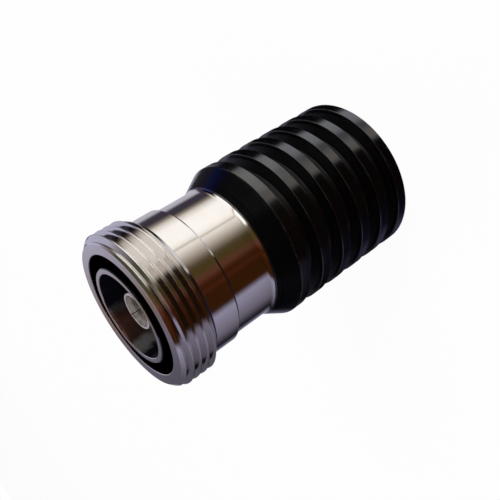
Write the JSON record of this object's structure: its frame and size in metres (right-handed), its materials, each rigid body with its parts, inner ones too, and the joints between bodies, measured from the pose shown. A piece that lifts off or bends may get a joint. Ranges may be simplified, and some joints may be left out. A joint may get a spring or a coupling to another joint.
{
  "type": "rf dummy load",
  "caption": "Coaxial dummy load: a nickel-plated screw-on female connector with a stepped body and a black round-finned heat sink that takes the power of a transmitter under test.",
  "frame": {"origin": "centre of the heat sink's flat back", "axes": "+Z along the axis towards the mating face of the connector; the part is turned about Z"},
  "size_m": [0.03, 0.03, 0.0525],
  "materials": {
    "nickel_plate": "turned brass, bright nickel plated, with fine lathe lines",
    "silver_plate": "turned brass, silver plated",
    "fluoropolymer": "white turned fluoropolymer",
    "resistor_film": "ceramic rod with a brown resistive film",
    "bare_brass": "plain turned brass",
    "seal_rubber": "black rubber",
    "black_anodise": "turned aluminium, satin black anodised"
  },
  "bodies": {
    "root": {"connector_shell": "nickel_plate", "outer_contact_sleeve": "nickel_plate", "center_contact": "silver_plate", "contact_insulator": "fluoropolymer", "resistor_front_cap": "silver_plate", "resistor_rod": "resistor_film", "resistor_rear_cap": "silver_plate", "ground_bush": "bare_brass", "taper_liner": "bare_brass", "seal_ring": "seal_rubber", "heat_sink": "black_anodise"}
  },
  "joints": []
}
